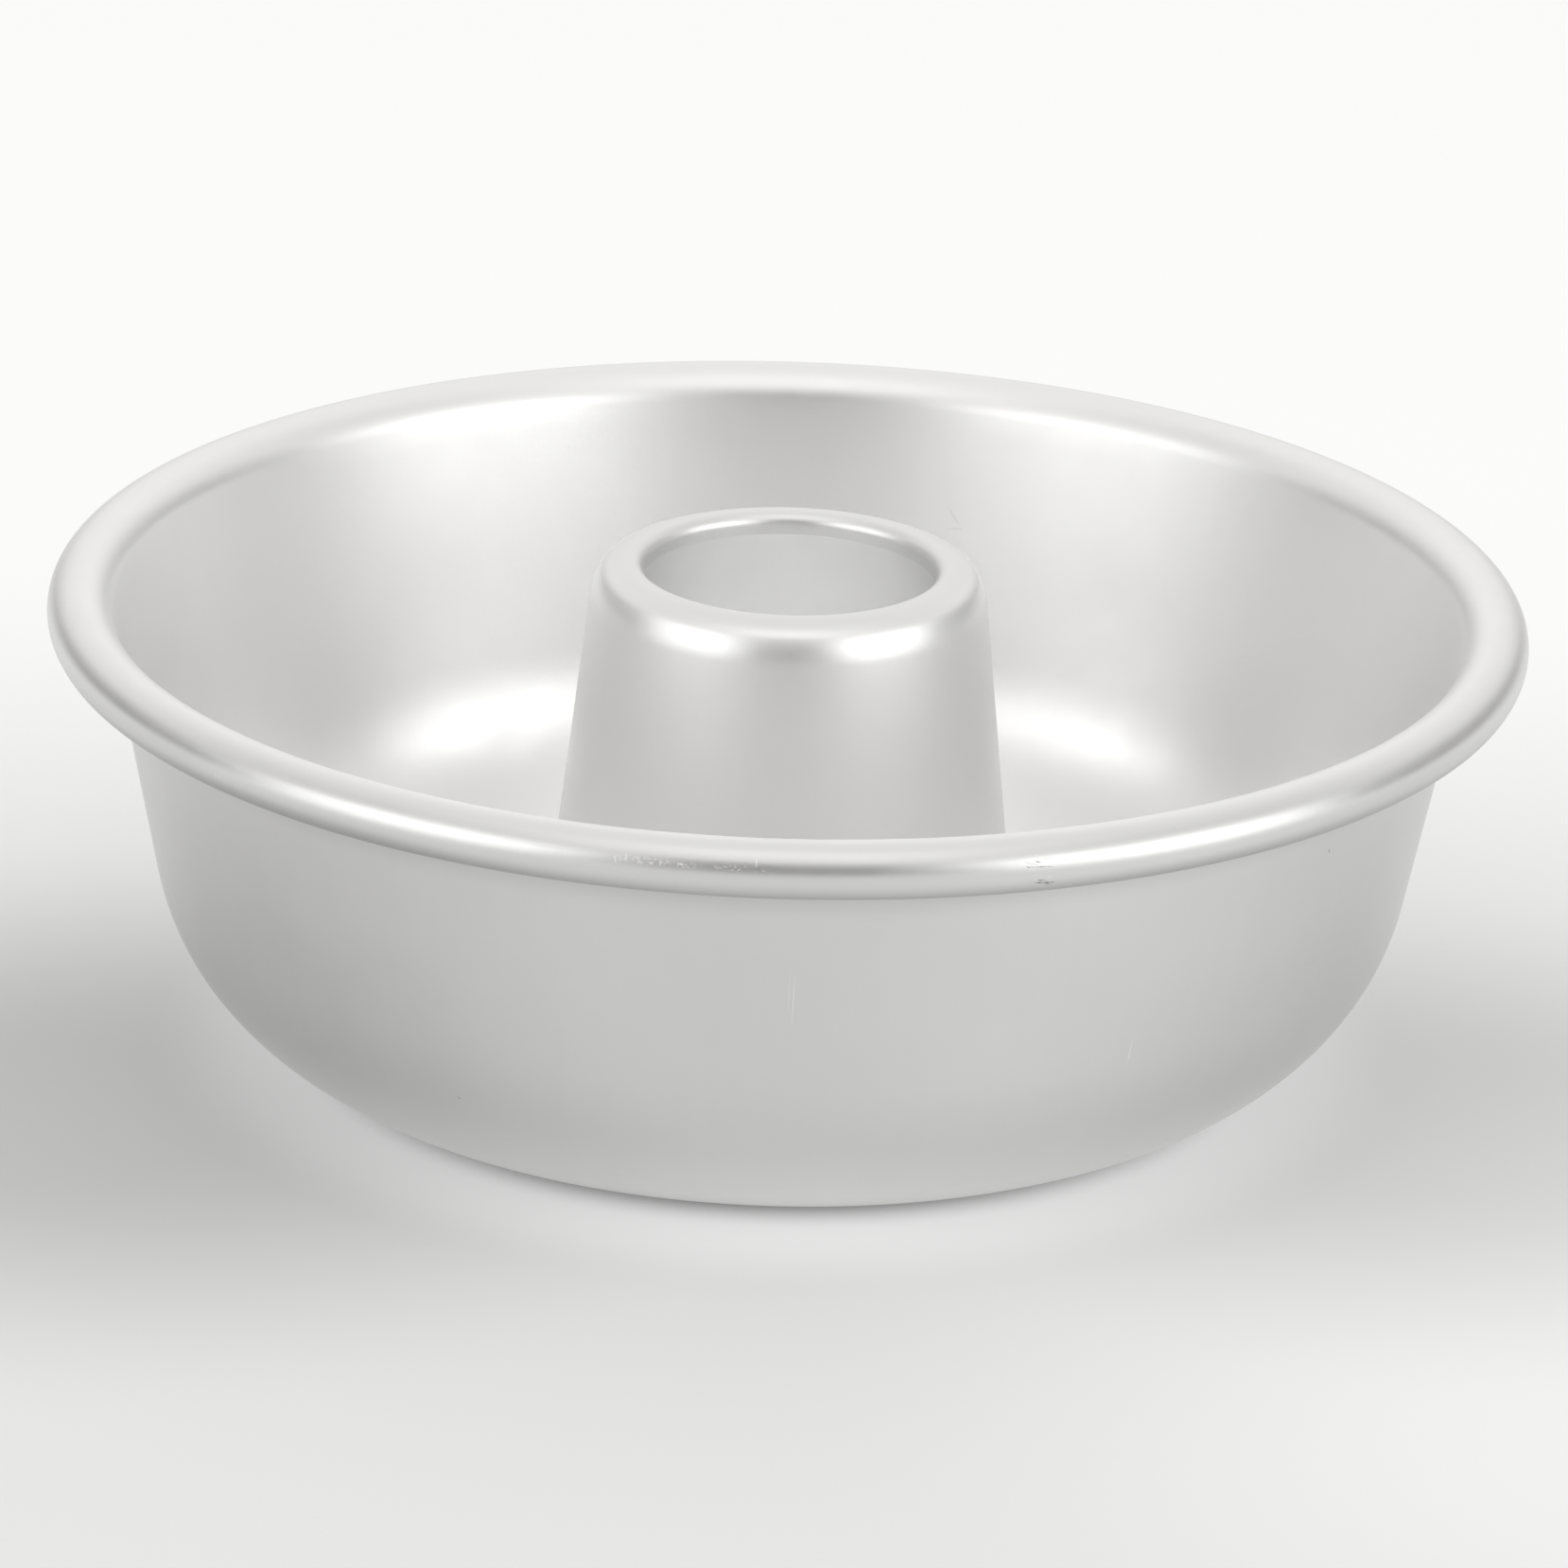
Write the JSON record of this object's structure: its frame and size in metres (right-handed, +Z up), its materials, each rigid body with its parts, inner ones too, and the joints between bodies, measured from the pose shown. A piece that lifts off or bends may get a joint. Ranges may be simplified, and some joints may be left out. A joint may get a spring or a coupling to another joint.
{
  "type": "doughnut pan",
  "caption": "Round ring cake mould in satin aluminium sheet, with a rolled rim, a slanted wall that curves into the floor, and a hollow centre tube with a turned-in lip.",
  "frame": {"origin": "on the table, under the middle of the pan", "axes": "+Z up along the pan's axis; the pan is round, so X and Y only name its sides"},
  "size_m": [0.21, 0.21, 0.073],
  "materials": {
    "satin_aluminium": "satin anodised"
  },
  "bodies": {
    "root": {"pan_shell": "satin_aluminium", "centre_tube": "satin_aluminium"}
  },
  "joints": []
}
